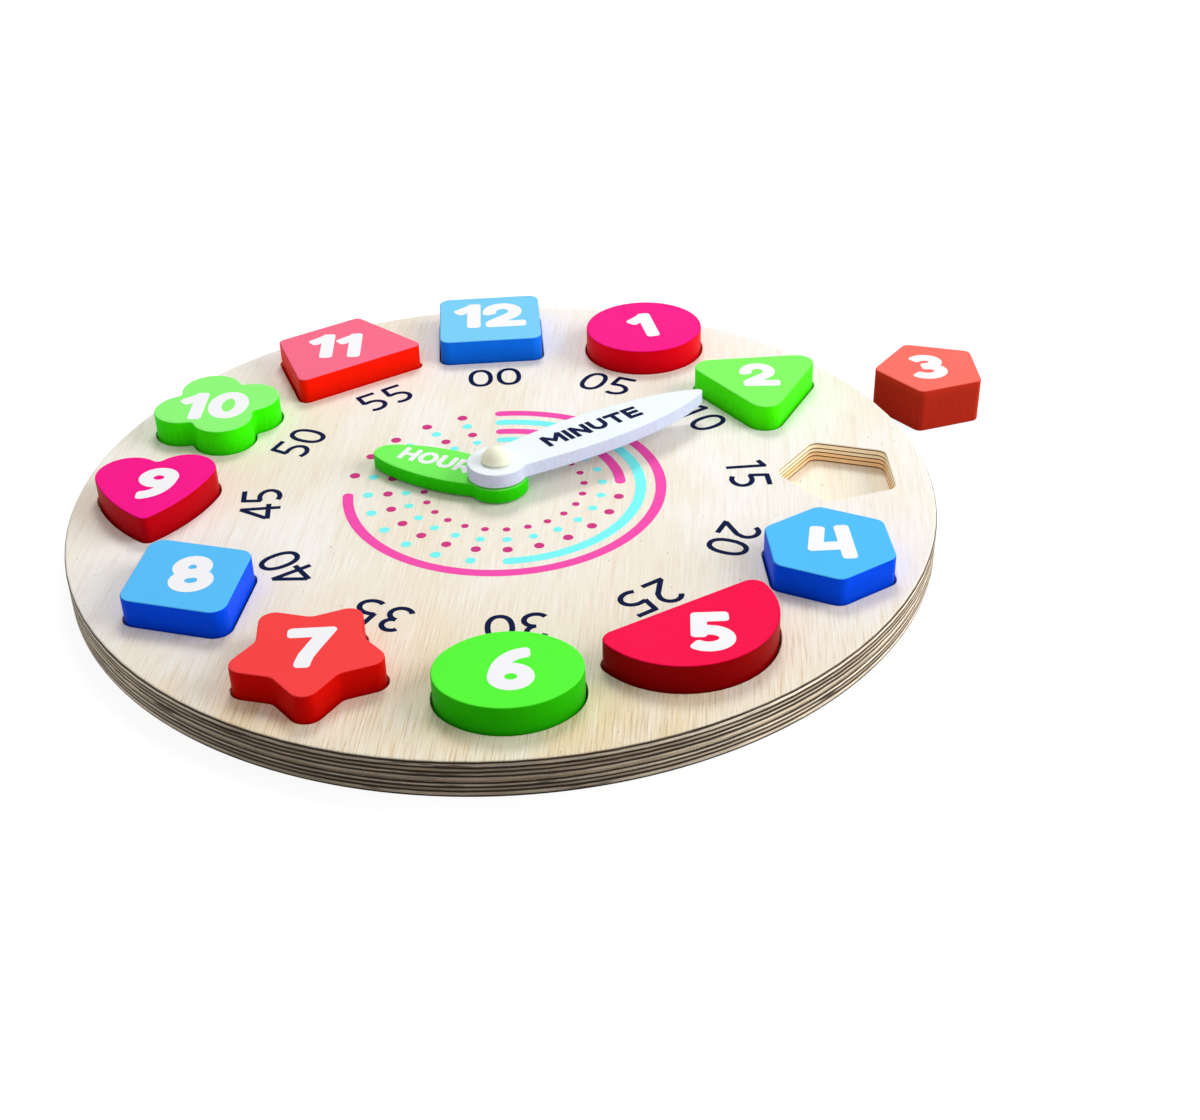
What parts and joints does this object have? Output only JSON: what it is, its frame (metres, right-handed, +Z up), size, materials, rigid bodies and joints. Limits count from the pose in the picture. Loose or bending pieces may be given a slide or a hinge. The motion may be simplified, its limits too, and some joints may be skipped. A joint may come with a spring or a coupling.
{
  "type": "teaching clock",
  "caption": "Round wooden teaching clock that lies on a table, with turning hour and minute hands and lift-out number blocks of different shapes in matching recesses.",
  "frame": {"origin": "centre of the board's flat underside, on the axis that the hands turn about", "axes": "+Z up out of the clock face, +Y from the middle towards twelve o'clock, +X towards three o'clock"},
  "size_m": [0.3339, 0.3, 0.0298],
  "materials": {
    "plywood": "pale plywood under a matt clear lacquer",
    "bare_wood": "bare veneer",
    "magenta_paint": "satin magenta paint",
    "crimson_paint": "satin crimson paint",
    "green_paint": "satin bright green paint",
    "orange_red_paint": "satin orange-red paint",
    "blue_paint": "satin sky-blue paint",
    "white_paint": "satin white paint",
    "cream_paint": "satin cream paint"
  },
  "bodies": {
    "board": {"base_board": "plywood", "top_board": "plywood", "lower_washer": "bare_wood", "upper_washer": "bare_wood", "pivot_peg": "cream_paint"},
    "hour_hand": {"hour_hand": "green_paint"},
    "minute_hand": {"minute_hand": "white_paint"},
    "block_1": {"number_block_1": "magenta_paint"},
    "block_2": {"number_block_2": "green_paint"},
    "block_3": {"number_block_3": "orange_red_paint"},
    "block_4": {"number_block_4": "blue_paint"},
    "block_5": {"number_block_5": "crimson_paint"},
    "block_6": {"number_block_6": "green_paint"},
    "block_7": {"number_block_7": "orange_red_paint"},
    "block_8": {"number_block_8": "blue_paint"},
    "block_9": {"number_block_9": "magenta_paint"},
    "block_10": {"number_block_10": "green_paint"},
    "block_11": {"number_block_11": "orange_red_paint"},
    "block_12": {"number_block_12": "blue_paint"}
  },
  "joints": [
    {"name": "hour_hand_turn", "type": "hinge", "parent": "board", "child": "hour_hand", "pos_m": [0, 0, 0.0162], "axis": [0, 0, -1], "continuous": true},
    {"name": "minute_hand_turn", "type": "hinge", "parent": "board", "child": "minute_hand", "pos_m": [0, 0, 0.0222], "axis": [0, 0, -1], "continuous": true},
    {"name": "block_1_lift", "type": "slide", "parent": "board", "child": "block_1", "axis": [0, 0, 1], "range_m": [0, 0.03]},
    {"name": "block_2_lift", "type": "slide", "parent": "board", "child": "block_2", "axis": [0, 0, 1], "range_m": [0, 0.03]},
    {"name": "block_3_lift", "type": "slide", "parent": "board", "child": "block_3", "axis": [0, 0, 1], "range_m": [0, 0.03]},
    {"name": "block_4_lift", "type": "slide", "parent": "board", "child": "block_4", "axis": [0, 0, 1], "range_m": [0, 0.03]},
    {"name": "block_5_lift", "type": "slide", "parent": "board", "child": "block_5", "axis": [0, 0, 1], "range_m": [0, 0.03]},
    {"name": "block_6_lift", "type": "slide", "parent": "board", "child": "block_6", "axis": [0, 0, 1], "range_m": [0, 0.03]},
    {"name": "block_7_lift", "type": "slide", "parent": "board", "child": "block_7", "axis": [0, 0, 1], "range_m": [0, 0.03]},
    {"name": "block_8_lift", "type": "slide", "parent": "board", "child": "block_8", "axis": [0, 0, 1], "range_m": [0, 0.03]},
    {"name": "block_9_lift", "type": "slide", "parent": "board", "child": "block_9", "axis": [0, 0, 1], "range_m": [0, 0.03]},
    {"name": "block_10_lift", "type": "slide", "parent": "board", "child": "block_10", "axis": [0, 0, 1], "range_m": [0, 0.03]},
    {"name": "block_11_lift", "type": "slide", "parent": "board", "child": "block_11", "axis": [0, 0, 1], "range_m": [0, 0.03]},
    {"name": "block_12_lift", "type": "slide", "parent": "board", "child": "block_12", "axis": [0, 0, 1], "range_m": [0, 0.03]}
  ]
}
